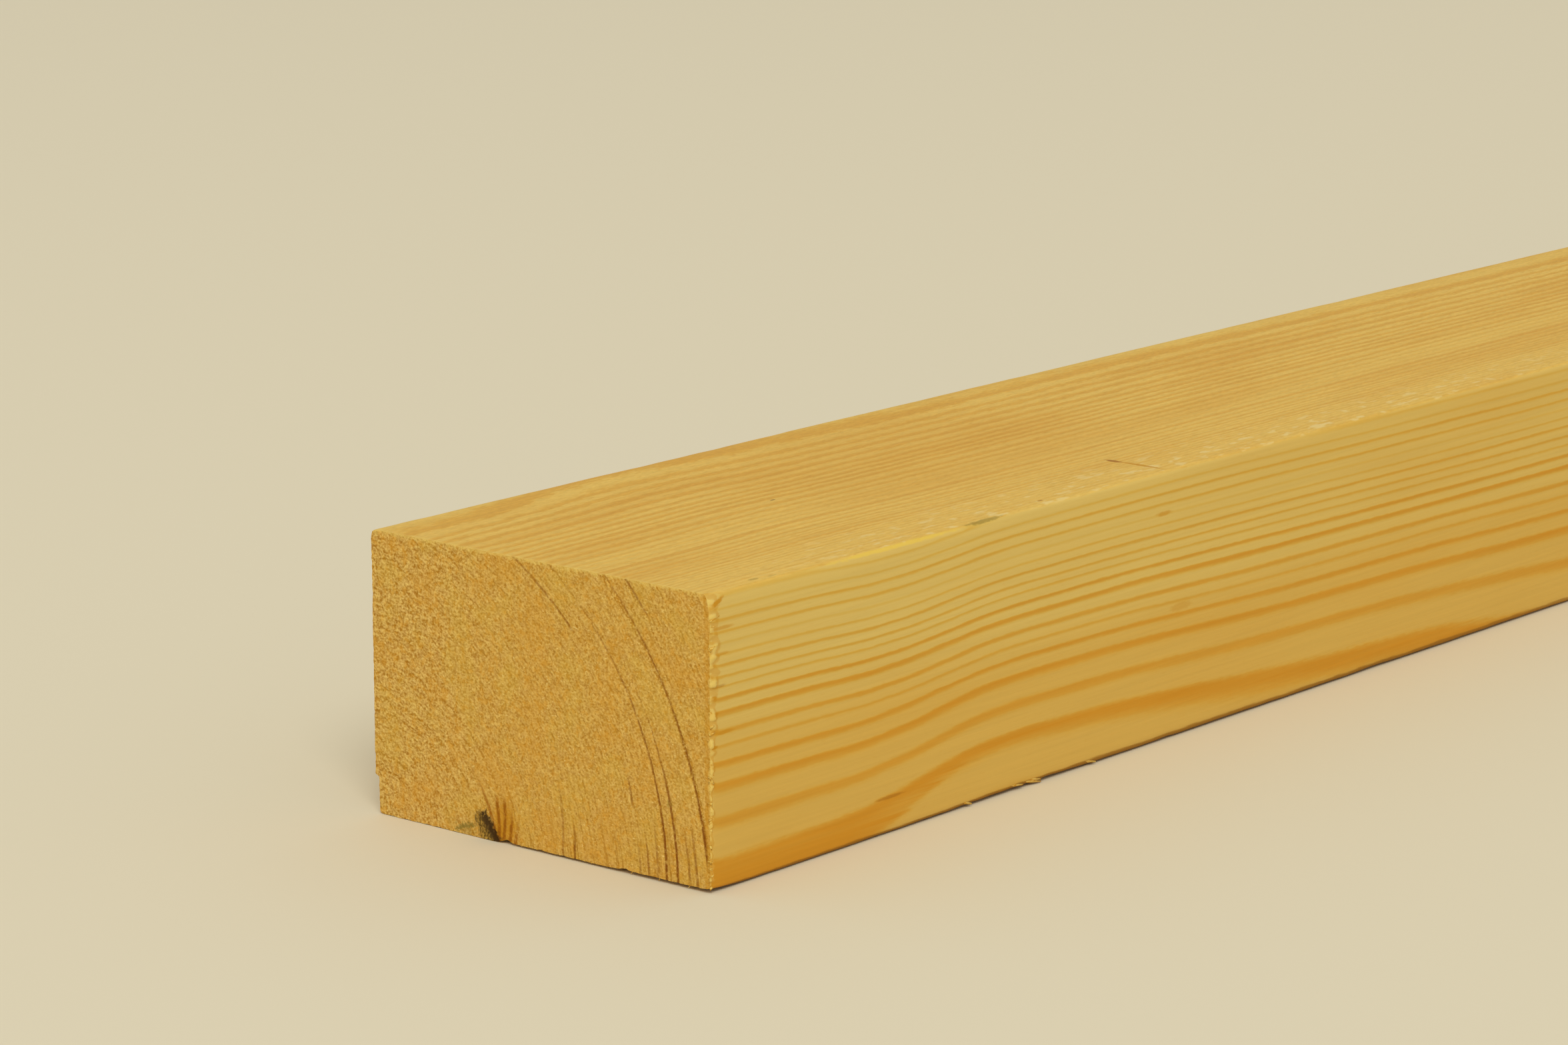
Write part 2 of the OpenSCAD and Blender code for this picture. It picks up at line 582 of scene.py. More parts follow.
# Uneven growth, from fine fibres to slow wobbles, shifts the rings in and out
fibre = maths(rings, "SUBTRACT", mottle(rings, rings_in["Place"], (18.0, 0.5, 0.5), 2.0, 0.6), 0.5)
ripple = maths(rings, "SUBTRACT", mottle(rings, rings_in["Place"], (7.0, 2.5, 2.5), 3.0, 0.65), 0.5)
wobble = maths(rings, "SUBTRACT", mottle(rings, rings_in["Place"], (90.0, 8.0, 8.0), 1.0), 0.5)
fuzz = maths(rings, "SUBTRACT", mottle(rings, rings_in["Place"], (2.2, 0.6, 0.6), 2.0, 0.6), 0.5)
radius = maths(rings, "MULTIPLY_ADD", fuzz, maths(rings, "MULTIPLY", rings_in["Soft"], 0.5), radius)
radius = maths(rings, "MULTIPLY_ADD", fibre, 0.13, radius)
radius = maths(rings, "MULTIPLY_ADD", ripple, rings_in["Ripple"], radius)
radius = maths(rings, "MULTIPLY_ADD", wobble, 0.4, radius)
# The distance from the heart as a count of years, and how far this year's growth had got
edge_points = [(0.0, 0.0)]
edge_points += [(edge / ring_span, (number + 1) / ring_count) for number, (edge, _) in enumerate(ring_edges)]
years = drawn_curve(rings, maths(rings, "DIVIDE", radius, ring_span), edge_points, "VECTOR")
years = maths(rings, "MULTIPLY", years, ring_count)
year = maths(rings, "FLOOR", years)
age = maths(rings, "FRACT", years)
dark_points = [((number + 0.5) / ring_count, dark) for number, (_, dark) in enumerate(ring_edges)]


def year_darkness(years_back):
    """How dark the late wood of this year, or of one some years before, grew."""
    middle = maths(rings, "DIVIDE", maths(rings, "ADD", year, 0.5 - years_back), ring_count)
    return drawn_curve(rings, middle, dark_points, "VECTOR")


# Late wood darkens towards the end of its year, and shades off a little way into the next one
darkness = year_darkness(0)
late_start = maths(rings, "MULTIPLY_ADD", darkness, -0.25, 0.85)
late_start = maths(rings, "MULTIPLY_ADD", rings_in["Soft"], -0.18, late_start)
late_full = maths(rings, "MULTIPLY_ADD", darkness, -0.04, 0.98)
late = maths(rings, "MULTIPLY", ramp(rings, age, late_start, late_full), darkness)
late_end = maths(rings, "MULTIPLY_ADD", rings_in["Soft"], 0.18, 0.14)
last_late = maths(rings, "MULTIPLY", ramp(rings, age, late_end, 0.0), year_darkness(1))
late = maths(rings, "MAXIMUM", late, last_late)
# One year's late wood grew twice as broad as the rest by the near end
broad_start = maths(
    rings, "MULTIPLY_ADD", ramp(rings, parts.outputs["X"], 36.0, 76.0), 0.45, broad_ring - 0.95
)
broad = ramp(rings, radius, broad_start, maths(rings, "ADD", broad_start, 0.3))
broad = maths(rings, "MULTIPLY", broad, ramp(rings, radius, broad_ring + 0.06, broad_ring - 0.06))
broad = maths(rings, "MULTIPLY", broad, ramp(rings, parts.outputs["X"], 220.0, 90.0))
feathers = ramp(rings, mottle(rings, rings_in["Place"], (40.0, 0.7, 0.7), 2.0, 0.6), 0.62, 0.42)
feathered = maths(rings, "MULTIPLY", ramp(rings, parts.outputs["X"], 30.0, 60.0), 0.6)
feathers = maths(rings, "MULTIPLY_ADD", maths(rings, "SUBTRACT", feathers, 1.0), feathered, 1.0)
broad = maths(rings, "MULTIPLY", broad, feathers)
late = maths(rings, "MAXIMUM", late, broad)
strength = mottle(rings, rings_in["Place"], (40.0, 1.3, 1.3), 2.0, 0.6)
late = maths(rings, "MULTIPLY", late, maths(rings, "MULTIPLY_ADD", strength, 0.5, 0.72), clamp=True)
feed(rings, late, rings_out["Late"])
feed(rings, radius, rings_out["Radius"])

# A mark on the wood: a rounded patch with a ragged edge, used for resin, stains and scratches. It is
# solid out to a share of its reach and thins out from there.
mark_solid = 0.45
mark, mark_in, mark_out = new_group(
    "wood_mark",
    [
        ("Place", "NodeSocketVector"), ("Middle", "NodeSocketVector"), ("Reach", "NodeSocketVector"),
        ("Turn", "NodeSocketVector"), ("Ragged", "NodeSocketFloat"),
    ],
    [("Mask", "NodeSocketFloat")],
)
offset = vector_maths(mark, "SUBTRACT", mark_in["Place"], mark_in["Middle"])
turned = mark.nodes.new("ShaderNodeVectorRotate")
turned.rotation_type = "EULER_XYZ"
feed(mark, offset, turned.inputs["Vector"])
feed(mark, mark_in["Turn"], turned.inputs["Rotation"])
offset = turned.outputs["Vector"]
spread = vector_maths(mark, "LENGTH", vector_maths(mark, "DIVIDE", offset, mark_in["Reach"]))
edge_noise = maths(mark, "SUBTRACT", mottle(mark, mark_in["Place"], (1.6, 0.5, 0.5), 2.0, 0.6), 0.5)
spread = maths(mark, "MULTIPLY_ADD", edge_noise, mark_in["Ragged"], spread)
feed(mark, ramp(mark, spread, 1.0, mark_solid), mark_out["Mask"])

# A thin line that follows one growth ring on a sawn end, between two heights
line, line_in, line_out = new_group(
    "ring_line",
    [("Place", "NodeSocketVector")]
    + [
        (name, "NodeSocketFloat")
        for name in ("Radius", "Ring", "Growth", "Bend", "Lowest", "Highest", "Full", "Thick")
    ],
    [("Mask", "NodeSocketFloat")],
)
parts = line.nodes.new("ShaderNodeSeparateXYZ")
feed(line, line_in["Place"], parts.inputs[0])
up = parts.outputs["Z"]
growth_here = maths(line, "MULTIPLY_ADD", up, line_in["Bend"], line_in["Growth"])
ring_here = maths(line, "MULTIPLY_ADD", up, growth_here, line_in["Ring"])
aside = maths(line, "ABSOLUTE", maths(line, "SUBTRACT", line_in["Radius"], ring_here))
frayed = mottle(line, line_in["Place"], (0.6, 0.6, 1.0), 2.0, 0.6)
above = ramp(line, up, line_in["Lowest"], maths(line, "ADD", line_in["Lowest"], 3.0))
below = ramp(line, up, line_in["Highest"], line_in["Full"])
openness = maths(line, "MULTIPLY", above, below)
at_foot = maths(line, "MULTIPLY_ADD", ramp(line, up, 22.0, 6.0), 0.25, 0.75)
openness = maths(line, "MULTIPLY", openness, at_foot)
thick_here = maths(line, "MULTIPLY", line_in["Thick"], maths(line, "MULTIPLY_ADD", openness, 0.6, 0.5))
band = ramp(line, maths(line, "DIVIDE", aside, thick_here), 1.0, 0.2)
broken = maths(line, "MULTIPLY_ADD", openness, 0.4, ramp(line, frayed, 0.3, 0.6))
broken = maths(line, "MINIMUM", broken, 1.0)
feed(line, maths(line, "MULTIPLY", band, maths(line, "MULTIPLY", broken, openness)), line_out["Mask"])


def new_wood(name):
    """A material whose tree has the place on the plank in mm from the near end, the back and the foot."""
    material = bpy.data.materials.new(name)
    material.use_nodes = True
    tree = material.node_tree
    coordinates = tree.nodes.new("ShaderNodeTexCoord")
    mapping = tree.nodes.new("ShaderNodeMapping")
    mapping.inputs["Location"].default_value = (-low.x / MM, high.y / MM, -low.z / MM)
    mapping.inputs["Scale"].default_value = (1 / MM, -1 / MM, 1 / MM)
    feed(tree, coordinates.outputs["Object"], mapping.inputs["Vector"])
    place = mapping.outputs["Vector"]
    split = tree.nodes.new("ShaderNodeSeparateXYZ")
    feed(tree, place, split.inputs[0])
    shader = tree.nodes["Principled BSDF"]
    shader.inputs["Specular IOR Level"].default_value = 0.12
    return material, tree, shader, place, split.outputs


def finish_wood(tree, shader, colour, roughness, height, relief):
    """Links the last colour, roughness and relief height, in mm, of a wood material to its shader."""
    bump = tree.nodes.new("ShaderNodeBump")
    bump.inputs["Strength"].default_value = 1.0
    bump.inputs["Distance"].default_value = relief * MM
    feed(tree, height, bump.inputs["Height"])
    feed(tree, colour, shader.inputs["Base Color"])
    feed(tree, roughness, shader.inputs["Roughness"])
    feed(tree, bump.outputs["Normal"], shader.inputs["Normal"])


def add_marks(tree, colour, place, marks):
    """Lays marks over a colour: tint, strength, middle, reach, raggedness and turn of each one."""
    for tint, strength, middle, reach, ragged, turn in marks:
        made = place_group(tree, mark, Place=place, Middle=middle, Reach=reach, Ragged=ragged, Turn=turn)
        mask = made["Mask"]
        colour = blend(tree, maths(tree, "MULTIPLY", mask, strength), colour, tint)
    return colour


def add_fringe(tree, colour):
    """Colours the fibres bent over the edges of the ends: pale on their tips, and painted shade in the
    hollows between them.
    """
    attribute = tree.nodes.new("ShaderNodeAttribute")
    attribute.attribute_name = "torn"
    cover = attribute.outputs["Fac"]
    between = maths(tree, "MULTIPLY", ramp(tree, cover, 0.02, 0.15), ramp(tree, cover, 0.5, 0.32))
    colour = blend(tree, maths(tree, "MULTIPLY", between, 0.45), colour, TORN_SHADE)
    return blend(tree, maths(tree, "MULTIPLY", ramp(tree, cover, 0.40, 0.72), 0.8), colour, TORN_FIBRE)


# Planed faces: smooth, with the rings drawn out into lines and bands along the grain. The planer
# left the broad top face a little furry, so its rings look softer than those of the narrow sides.
planed, tree, shader, place, (along, across, up) = new_wood("planed_pine")
on_top = ramp(tree, up, 47.5, 47.95)
softness = maths(tree, "MULTIPLY_ADD", on_top, 0.75, 0.25)
ring = place_group(tree, rings, Place=place, Ripple=maths(tree, "MULTIPLY", on_top, 0.7), Soft=softness)
# Tones of the rings, from pale to dark: redder by the foot and further along, softer on the top face
by_foot = ramp(tree, up, 33.0, 19.0)
deeper = maths(tree, "MULTIPLY", ramp(tree, along, 50.0, 220.0), 0.4)
by_foot = maths(tree, "MAXIMUM", by_foot, deeper)
early = blend(tree, on_top, blend(tree, by_foot, SAP_EARLY, HEART_EARLY), TOP_EARLY)
pale = blend(tree, on_top, blend(tree, by_foot, SAP_PALE, HEART_PALE), TOP_PALE)
late = blend(tree, on_top, blend(tree, by_foot, SAP_LATE, HEART_LATE), TOP_LATE)
top_late = maths(tree, "MULTIPLY_ADD", ramp(tree, across, 40.0, 57.0), -0.33, 0.95)
late_share = maths(tree, "MULTIPLY_ADD", on_top, maths(tree, "SUBTRACT", top_late, 1.0), 1.0)
late_mask = maths(tree, "MULTIPLY", ring["Late"], late_share)
colour = blend(tree, ramp(tree, late_mask, 0.0, 0.5, smooth=False), early, pale)
colour = blend(tree, ramp(tree, late_mask, 0.3, 1.0, smooth=False), colour, late)
# Over them broad clouds, long streaks, the top face's fur and short dark dashes
clouds = mottle(tree, place, (60.0, 12.0, 12.0), 3.0)
cloud_share = maths(tree, "MULTIPLY_ADD", on_top, 0.2, 0.1)
colour = blend(tree, maths(tree, "MULTIPLY", ramp(tree, clouds, 0.42, 0.72), cloud_share), colour, HEART_LATE)
streaks = mottle(tree, place, (30.0, 0.6, 0.6), 2.0, 0.5)
streak_share = maths(tree, "MULTIPLY_ADD", on_top, 0.08, 0.12)
streak_tone = maths(tree, "MULTIPLY_ADD", maths(tree, "SUBTRACT", streaks, 0.5), streak_share, 1.0)
colour = blend(tree, 1.0, colour, streak_tone, "MULTIPLY")
fur = maths(tree, "SUBTRACT", mottle(tree, place, (1.5, 0.45, 0.45), 3.0, 0.65), 0.5)
fur = maths(tree, "MULTIPLY", fur, on_top)
colour = blend(tree, 1.0, colour, maths(tree, "MULTIPLY_ADD", fur, 0.4, 1.0), "MULTIPLY")
dashes = mottle(tree, place, (2.6, 0.5, 0.5), 1.0)
dash_share = maths(tree, "MULTIPLY_ADD", on_top, 0.3, 0.08)
colour = blend(tree, maths(tree, "MULTIPLY", ramp(tree, dashes, 0.62, 0.74), dash_share), colour, HEART_LATE)
# The planer lifted pale flakes along the front edge of the top face
flecks = mottle(tree, place, (4.0, 1.7, 1.7), 2.0, 0.5)
fleck_zone = maths(tree, "MULTIPLY", ramp(tree, across, 58.0, 69.0), ramp(tree, along, 8.0, 50.0))
fleck_end = maths(tree, "MULTIPLY", ramp(tree, along, 330.0, 180.0), on_top)
fleck_zone = maths(tree, "MULTIPLY", fleck_zone, fleck_end)
fleck_mask = maths(tree, "MULTIPLY", ramp(tree, flecks, 0.55, 0.68), fleck_zone)
colour = blend(tree, maths(tree, "MULTIPLY", fleck_mask, 0.7), colour, LIFTED_FIBRE)
# Resin, stains and scratches, on the top face first and then on the front side
NO_TURN = (0.0, 0.0, 0.0)
colour = add_marks(tree, colour, place, (
    (HEART_LATE, 0.2, (105.0, 30.0, 48.0), (60.0, 34.0, 9.0), 0.4, NO_TURN),
    (RESIN_YELLOW, 0.6, (46.0, 72.7, 47.7), (22.0, 0.6, 0.5), 0.9, NO_TURN),
    (GREY_STAIN, 0.6, (70.0, 72.4, 47.8), (6.5, 0.6, 0.5), 1.4, NO_TURN),
    (GREY_STAIN, 0.45, (12.5, 71.2, 48.0), (1.6, 0.5, 1.0), 1.0, NO_TURN),
    (GREY_STAIN, 0.3, (16.5, 71.6, 48.0), (1.3, 0.4, 1.0), 1.0, NO_TURN),
    (RESIN_BROWN, 0.85, (121.3, 60.9, 48.0), (0.9, 2.3, 1.0), 0.5, NO_TURN),
    (RESIN_ORANGE, 0.85, (121.5, 66.5, 48.0), (0.7, 6.0, 1.0), 0.5, NO_TURN),
    (KNOT_BROWN, 0.7, (59.0, 36.0, 48.0), (0.8, 0.3, 1.0), 0.4, NO_TURN),
    (RESIN_BROWN, 0.7, (87.3, 70.6, 48.0), (1.0, 0.4, 1.0), 0.6, NO_TURN),
    (RESIN_ORANGE, 0.6, (119.5, 73.0, 40.7), (3.0, 1.0, 0.5), 0.7, NO_TURN),
    (RESIN_BROWN, 0.5, (44.5, 73.0, 6.3), (4.5, 1.0, 0.4), 0.7, NO_TURN),
    (RESIN_ORANGE, 0.35, (125.0, 73.0, 23.3), (4.0, 1.0, 1.0), 0.7, NO_TURN),
    (RESIN_ORANGE, 0.9, (1.7, 73.0, 46.4), (2.3, 1.5, 0.55), 0.6, (0.0, 0.5, 0.0)),
    (RESIN_ORANGE, 0.6, (3.0, 73.0, 42.3), (3.4, 1.0, 0.4), 0.6, NO_TURN),
    (RESIN_ORANGE, 0.5, (2.6, 73.0, 38.2), (2.6, 1.0, 0.35), 0.6, NO_TURN),
    (RESIN_BROWN, 0.4, (2.0, 73.0, 33.1), (2.4, 1.0, 0.35), 0.6, NO_TURN),
    (RESIN_ORANGE, 0.9, (0.9, 73.0, 31.4), (1.1, 1.0, 0.4), 0.6, NO_TURN),
    (RESIN_ORANGE, 0.9, (1.0, 73.0, 28.8), (1.2, 1.0, 0.5), 0.6, NO_TURN),
    (RESIN_ORANGE, 0.7, (3.0, 73.0, 25.6), (3.6, 1.0, 0.4), 0.6, NO_TURN),
    (RESIN_ORANGE, 0.9, (1.0, 73.0, 23.5), (1.1, 1.0, 0.4), 0.6, NO_TURN),
))
# Painted shade: a dark brown band along the front foot, where the shade under its lower edge falls
foot_noise = maths(tree, "SUBTRACT", mottle(tree, place, (6.0, 3.0, 0.8), 2.0, 0.6), 0.5)
foot_level = maths(tree, "MULTIPLY_ADD", foot_noise, 0.7, up)
foot_level = maths(tree, "MULTIPLY_ADD", ramp(tree, along, 50.0, 75.0), -0.4, foot_level)
painted_foot_shade = maths(tree, "MULTIPLY", ramp(tree, foot_level, 1.0, 0.6), ramp(tree, across, 70.0, 72.0))
painted_foot_shade = maths(tree, "MULTIPLY", painted_foot_shade, ramp(tree, along, 400.0, 200.0))
colour = blend(tree, maths(tree, "MULTIPLY", painted_foot_shade, 0.85), colour, FOOT_SHADE_BROWN)
# The saw left pale torn fibre along the edges of the ends
end_gap = maths(tree, "MINIMUM", along, maths(tree, "SUBTRACT", length, along))
fuzz = mottle(tree, place, (1.5, 0.8, 0.8), 2.0, 0.6)
ragged_gap = maths(tree, "MULTIPLY_ADD", maths(tree, "SUBTRACT", fuzz, 0.5), 2.4, end_gap)
colour = blend(tree, maths(tree, "MULTIPLY", ramp(tree, ragged_gap, 1.0, 0.3), 0.3), colour, TORN_FIBRE)
colour = add_fringe(tree, colour)
roughness = maths(tree, "MULTIPLY_ADD", ring["Late"], -0.1, 0.72)
height = maths(tree, "MULTIPLY_ADD", late_mask, 0.5, maths(tree, "ADD", streaks, fur))
finish_wood(tree, shader, colour, roughness, height, relief=0.03)
plank_data.materials.append(planed)

# Sawn ends: every fibre is cut across, so the face is a soft sponge with the rings as arcs
sawn, tree, shader, place, (along, across, up) = new_wood("sawn_pine")
ring = place_group(tree, rings, Place=place, Ripple=0.3, Soft=0.0)
from_heart = maths(tree, "ADD", up, heart_drop)
angle = maths(tree, "ARCTAN2", from_heart, across)
plain_radius = maths(
    tree, "SQRT", maths(tree, "ADD", maths(tree, "POWER", across, 2.0), maths(tree, "POWER", from_heart, 2.0))
)
# The place in the rings' own round way: out from the heart, and along the arc at a middle ring
middle_ring = 45.0
ring_place = tree.nodes.new("ShaderNodeCombineXYZ")
feed(tree, ring["Radius"], ring_place.inputs["X"])
feed(tree, maths(tree, "MULTIPLY", angle, middle_ring), ring_place.inputs["Y"])
ring_place = ring_place.outputs["Vector"]
# The sponge is made of pits, lumps and strokes along the rings, which are drawn out longer by the heart
pits = mottle(tree, place, (0.5, 0.45, 0.36), 1.0, 0.5)
lumps = mottle(tree, place, (1.4, 1.2, 1.2), 2.0, 0.5)
strokes = mottle(tree, ring_place, (0.5, 1.6, 1.0), 1.0, 0.4)
young_strokes = mottle(tree, ring_place, (0.5, 4.0, 1.0), 2.0, 0.5)
scores = mottle(tree, ring_place, (0.55, 12.0, 1.0), 1.0, 0.5)
near_heart = ramp(tree, plain_radius, 42.0, 22.0)
calmer = ramp(tree, across, 10.0, 34.0)
sponge = maths(tree, "MULTIPLY_ADD", pits, 0.5, maths(tree, "MULTIPLY", lumps, 0.2))
sponge = maths(tree, "MULTIPLY_ADD", strokes, 0.3, sponge)
young_sponge = maths(tree, "MULTIPLY_ADD", pits, 0.4, maths(tree, "MULTIPLY", young_strokes, 0.6))
sponge = blend(tree, maths(tree, "MULTIPLY", near_heart, 0.65), sponge, young_sponge)
heart_rows = maths(tree, "MULTIPLY", maths(tree, "SUBTRACT", ring["Late"], 0.2), near_heart)
sponge = maths(tree, "MULTIPLY_ADD", heart_rows, -0.05, sponge)
# Its tone follows its relief: painted shade in the low pits and painted light on the raised lumps, over the
# end grain's own uneven tone
sponge_rise = ramp(tree, sponge, 0.32, 0.68)
colour = blend(tree, sponge_rise, SAWN_DARK_AND_PIT_SHADE, SAWN_BRIGHT)
calm_share = maths(tree, "MULTIPLY_ADD", ramp(tree, up, 16.0, 4.0), 0.2, 0.38)
colour = blend(tree, maths(tree, "MULTIPLY", calmer, calm_share), colour, SAWN_MIDDLE)
# Over it small orange and mauve tints, pale glints painted as highlights and dark pores painted as shade in
# small pits
tints = mottle(tree, place, (1.6, 1.4, 1.4), 2.0, 0.6)
colour = blend(tree, maths(tree, "MULTIPLY", ramp(tree, tints, 0.48, 0.68), 0.5), colour, SAWN_ORANGE)
colour = blend(tree, maths(tree, "MULTIPLY", ramp(tree, tints, 0.5, 0.34), 0.25), colour, SAWN_MAUVE)
glint_highlights = ramp(tree, mottle(tree, place, (0.5, 0.6, 0.35), 1.0, 0.4), 0.66, 0.76)
colour = blend(tree, maths(tree, "MULTIPLY", glint_highlights, 0.6), colour, SAWN_GLINT)
pit_shade = ramp(tree, mottle(tree, place, (0.5, 0.5, 0.4), 0.0), 0.30, 0.2)
colour = blend(tree, maths(tree, "MULTIPLY", pit_shade, 0.6), colour, SAWN_DARK_AND_PIT_SHADE)
# Scores along the rings, most of them by the foot, and the late wood as rows of dots
by_foot = maths(tree, "MULTIPLY_ADD", ramp(tree, up, 12.0, 2.0), 0.5, 0.08)
score_mask = maths(tree, "MULTIPLY", ramp(tree, scores, 0.46, 0.3), maths(tree, "MULTIPLY", calmer, by_foot))
colour = blend(tree, score_mask, colour, SAWN_DARK_AND_PIT_SHADE)
dotted = maths(tree, "MULTIPLY", ring["Late"], ramp(tree, pits, 0.6, 0.4))
dot_share = maths(tree, "MULTIPLY_ADD", near_heart, 0.35, maths(tree, "MULTIPLY_ADD", calmer, 0.35, 0.25))
dotted = maths(tree, "MULTIPLY", dotted, dot_share)
colour = blend(tree, dotted, colour, SAWN_DARK_AND_PIT_SHADE)
# Broad patches of colour, and pale torn fibre along the top edge
patches = mottle(tree, place, (9.0, 8.0, 8.0), 3.0)
colour = blend(tree, maths(tree, "MULTIPLY", ramp(tree, patches, 0.48, 0.7), 0.28), colour, SAWN_ORANGE)
colour = blend(tree, maths(tree, "MULTIPLY", ramp(tree, patches, 0.52, 0.32), 0.22), colour, SAWN_YELLOW)
top_gap = maths(tree, "SUBTRACT", thickness, up)
fuzz = maths(tree, "SUBTRACT", mottle(tree, place, (1.0, 0.8, 0.8), 2.0, 0.6), 0.5)
top_rim = ramp(tree, maths(tree, "MULTIPLY_ADD", fuzz, 2.4, top_gap), 0.7, 0.1)
colour = blend(tree, maths(tree, "MULTIPLY", top_rim, 0.55), colour, TORN_FIBRE)
colour = add_fringe(tree, colour)
colour = add_marks(tree, colour, place, (
    (RESIN_ORANGE, 0.75, (0.0, 29.2, 3.0), (3.0, 3.4, 5.4), 0.7, NO_TURN),
    (RESIN_ORANGE, 0.7, (0.0, 28.0, 1.6), (3.0, 1.6, 2.6), 0.7, NO_TURN),
    (GREY_STAIN, 0.3, (0.0, 20.6, 0.9), (3.0, 3.0, 1.5), 2.6, NO_TURN),
    (GREY_STAIN, 0.75, (0.0, 20.4, 1.5), (3.0, 3.2, 0.6), 2.6, (-0.34, 0.0, 0.0)),
    (KNOT_GREY, 0.5, (0.0, 23.6, 4.2), (3.0, 1.3, 0.7), 2.4, (-0.5, 0.0, 0.0)),
    (GREY_STAIN, 0.5, (0.0, 64.5, 13.2), (3.0, 0.8, 0.7), 1.0, NO_TURN),
    (RESIN_BROWN, 0.75, (0.0, 71.7, 9.6), (3.0, 0.32, 3.4), 0.6, (-0.2, 0.0, 0.0)),
))
# Resin lines beside the knot, then the cracks. Each has its ring, that ring's growth and bend with
# height, its lowest and highest point and the height below which it is fully drawn.
knot_lines = (
    (27.9, -0.03, 0.0, 0.0, 13.5, 3.5),
    (28.3, 0.23, 0.0, -9.0, 9.0, 6.5),
    (29.2, 0.33, 0.0, -9.0, 8.5, 6.0),
    (30.5, 0.36, 0.0, -9.0, 7.0, 3.0),
    (31.6, 0.45, 0.0, -9.0, 6.0, 0.0),
)
knot_line_thick = 0.5
crack_thick = 0.36
near_end = ramp(tree, along, length / 2 + 1, length / 2 - 1)
sawn_lines = [(RESIN_BROWN, 1.0, knot_line_thick, knot_line) for knot_line in knot_lines]
# The cracks' dark brown is painted shade inside them, over their shallow cut in the end
for ring_at, growth, bend, lowest, highest, _, strength in end_cracks:
    crack = (ring_at, growth, bend, lowest, highest, crack_full(lowest, highest))
    sawn_lines.append((CRACK_SHADE, strength, crack_thick, crack))
for tint, strength, thick, (ring_at, growth, bend, lowest, highest, full) in sawn_lines:
    mask = place_group(
        tree, line, Place=place, Radius=plain_radius, Ring=ring_at, Growth=growth, Bend=bend,
        Lowest=lowest, Highest=highest, Full=full, Thick=thick,
    )["Mask"]
    mask = maths(tree, "MULTIPLY", maths(tree, "MULTIPLY", mask, strength), near_end)
    colour = blend(tree, mask, colour, tint)
# The knot is a dark wedge at the foot: the corner of a branch that the saw just caught. Each of its
# three sides is given by the way it faces, across and up, and its reach from the back of the foot.
wedge_noise = maths(tree, "SUBTRACT", mottle(tree, place, (0.8, 0.7, 0.7), 3.0, 0.6), 0.5)
wedge = near_end
wedge_sides = ((-0.91, -0.42, -21.9), (-0.46, 0.89, -7.3), (0.79, 0.61, 22.6))
for lean_across, lean_up, reach in wedge_sides:
    beyond = maths(tree, "MULTIPLY_ADD", up, lean_up, -reach)
    outside = maths(tree, "MULTIPLY_ADD", across, lean_across, beyond)
    outside = maths(tree, "MULTIPLY_ADD", wedge_noise, 2.4, outside)
    wedge = maths(tree, "MULTIPLY", wedge, ramp(tree, outside, 0.6, -0.45))
knot_core = maths(tree, "MULTIPLY_ADD", across, 0.79, maths(tree, "MULTIPLY", up, 0.61))
knot_core = ramp(tree, maths(tree, "MULTIPLY_ADD", wedge_noise, 1.6, knot_core), 20.2, 21.6)
knot_strands = ramp(tree, mottle(tree, place, (0.6, 0.35, 0.5), 2.0, 0.6), 0.36, 0.7)
knot_colour = blend(tree, maths(tree, "MULTIPLY", knot_strands, 0.7), KNOT_GREY, SAWN_MIDDLE)
knot_colour = blend(tree, knot_core, knot_colour, KNOT_BROWN)
colour = blend(tree, maths(tree, "MULTIPLY", wedge, 0.93), colour, knot_colour)
roughness = maths(tree, "MULTIPLY_ADD", sponge_rise, -0.1, 0.85)
finish_wood(tree, shader, colour, roughness, sponge, relief=0.25)
plank_data.materials.append(sawn)

# Torn fibres: pale dry strands with nothing on them but a little unevenness
torn, tree, shader, place, _ = new_wood("torn_fibre")
strands = mottle(tree, place, (0.8, 0.25, 0.25), 2.0, 0.6)
colour = blend(tree, ramp(tree, strands, 0.35, 0.65), TORN_SHADE, TORN_FIBRE)
roughness = maths(tree, "MULTIPLY_ADD", strands, -0.1, 0.8)
finish_wood(tree, shader, colour, roughness, strands, relief=0.1)
plank_data.materials.append(torn)

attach(plank, "root")
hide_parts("plank")

# Floor: a plain pale sheet of one tone, wide enough to fill the view from any side. It only sets the
# stage and doesn't belong to the plank.
floor_size = 120.0
FLOOR_PALE = (0.765, 0.68, 0.475)
floor_mesh = bmesh.new()
bmesh.ops.create_grid(floor_mesh, x_segments=2, y_segments=2, size=floor_size / 2)
floor_data = bpy.data.meshes.new("floor")
floor_mesh.to_mesh(floor_data)
floor_mesh.free()
floor = bpy.data.objects.new("floor", floor_data)
bpy.context.scene.collection.objects.link(floor)
floor_paint = bpy.data.materials.new("floor_paint")
floor_paint.use_nodes = True
floor_shader = floor_paint.node_tree.nodes["Principled BSDF"]
floor_shader.inputs["Base Color"].default_value = (*FLOOR_PALE, 1.0)
floor_shader.inputs["Roughness"].default_value = 0.8
floor_shader.inputs["Specular IOR Level"].default_value = 0.1
floor_data.materials.append(floor_paint)

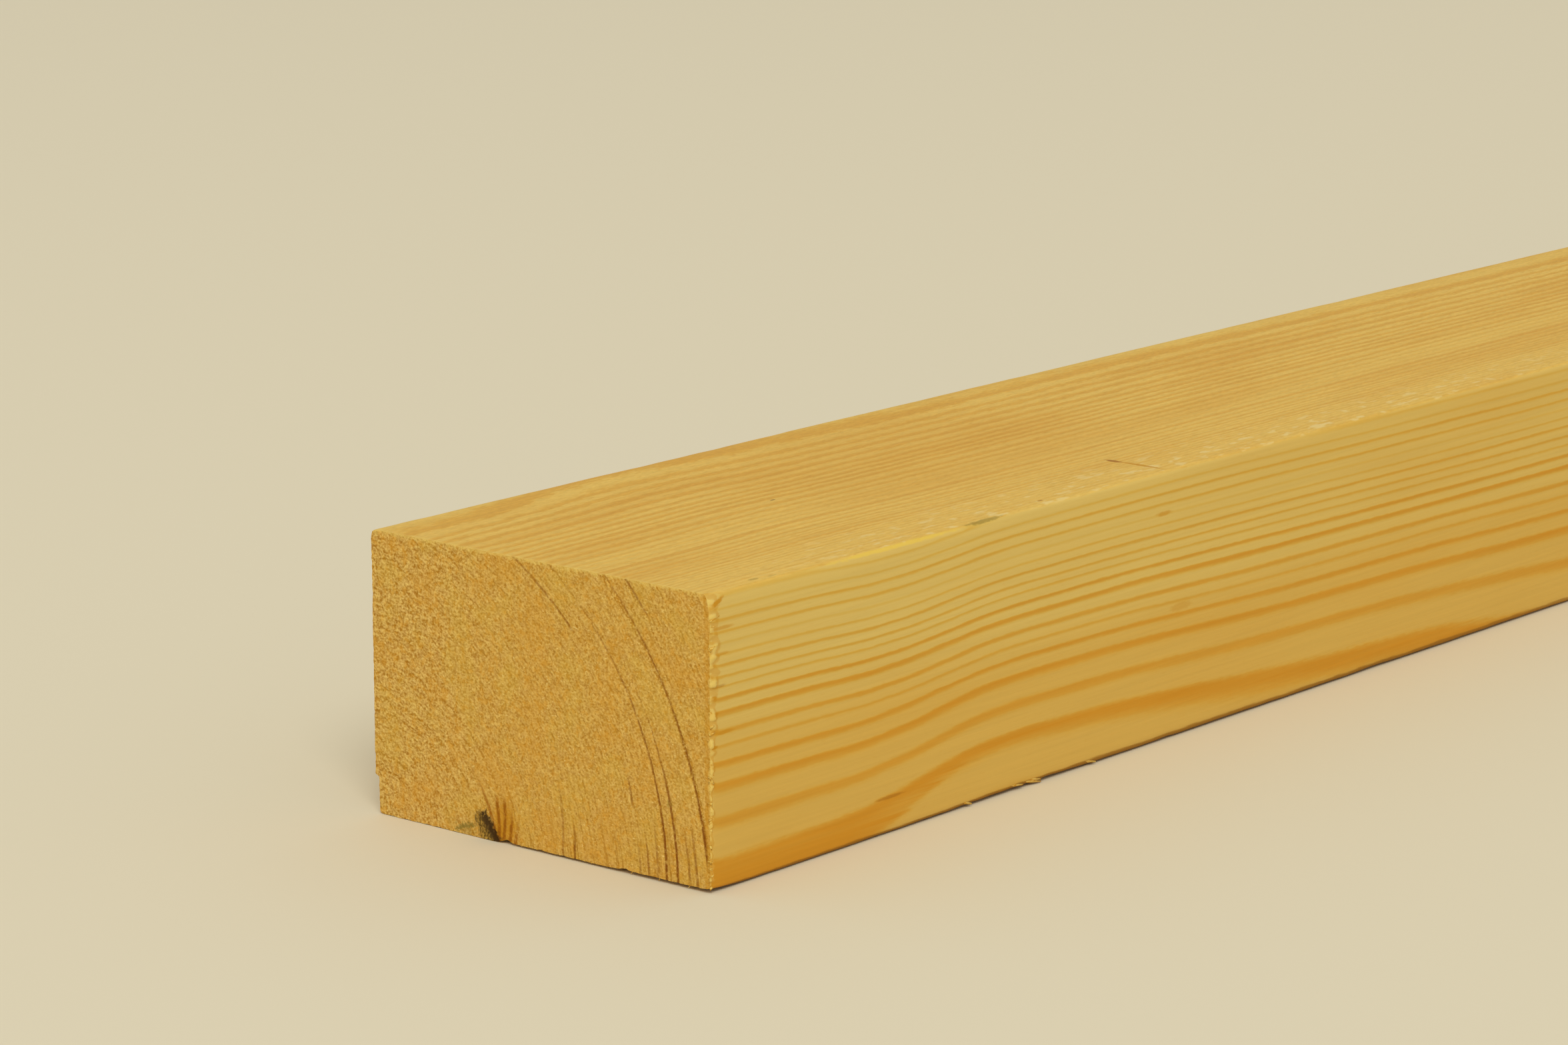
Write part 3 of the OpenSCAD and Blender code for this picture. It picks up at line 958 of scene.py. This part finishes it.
# Light: a soft sky, brighter all round than overhead, and one wide lamp high behind the camera. The
# camera sees the sky in the floor's own far tone, so that no edge shows where the floor ends.
SKY_ROUND = (0.80, 0.80, 0.80)
SKY_ABOVE = (0.50, 0.50, 0.50)
SKY_SEEN = (0.48, 0.42, 0.30)
world = bpy.data.worlds.new("studio")
bpy.context.scene.world = world
world.use_nodes = True
sky_tree = world.node_tree
sky = sky_tree.nodes["Background"]
sky.inputs["Strength"].default_value = 1.0
sky_way = sky_tree.nodes.new("ShaderNodeSeparateXYZ")
feed(sky_tree, sky_tree.nodes.new("ShaderNodeTexCoord").outputs["Generated"], sky_way.inputs[0])
sky_height = ramp(sky_tree, sky_way.outputs["Z"], 0.0, 1.0, smooth=False)
sky_colour = blend(sky_tree, sky_height, SKY_ROUND, SKY_ABOVE)
seen = sky_tree.nodes.new("ShaderNodeLightPath").outputs["Is Camera Ray"]
feed(sky_tree, blend(sky_tree, seen, sky_colour, SKY_SEEN), sky.inputs["Color"])
lamp_data = bpy.data.lights.new("wide_lamp", "AREA")
lamp_data.shape = "DISK"
lamp_data.size = 4.5
lamp_data.energy = 420.0
lamp = bpy.data.objects.new("wide_lamp", lamp_data)
lamp.location = (-5.66, -4.68, 6.48)
lamp_target = Vector((-0.8, 0.0, 0.0))
lamp.rotation_euler = (lamp_target - lamp.location).to_track_quat("-Z", "Y").to_euler()
bpy.context.scene.collection.objects.link(lamp)

# Camera: low and close to the near end, looking along the plank with a long lens, so that the far
# end runs out of the view. camera_back is the way from what it looks at back to it.
camera_data = bpy.data.cameras.new("camera")
camera_data.sensor_width = 36.0
camera_data.lens = 112.33
camera_data.clip_end = 200.0
camera = bpy.data.objects.new("camera", camera_data)
camera.location = (-1.4526, -0.5146, 0.2214)
camera_back = Vector((-0.74820, -0.62717, 0.21645))
camera.rotation_euler = (-camera_back).to_track_quat("-Z", "Y").to_euler()
bpy.context.scene.collection.objects.link(camera)
bpy.context.scene.camera = camera
bpy.context.scene.view_settings.view_transform = "Standard"
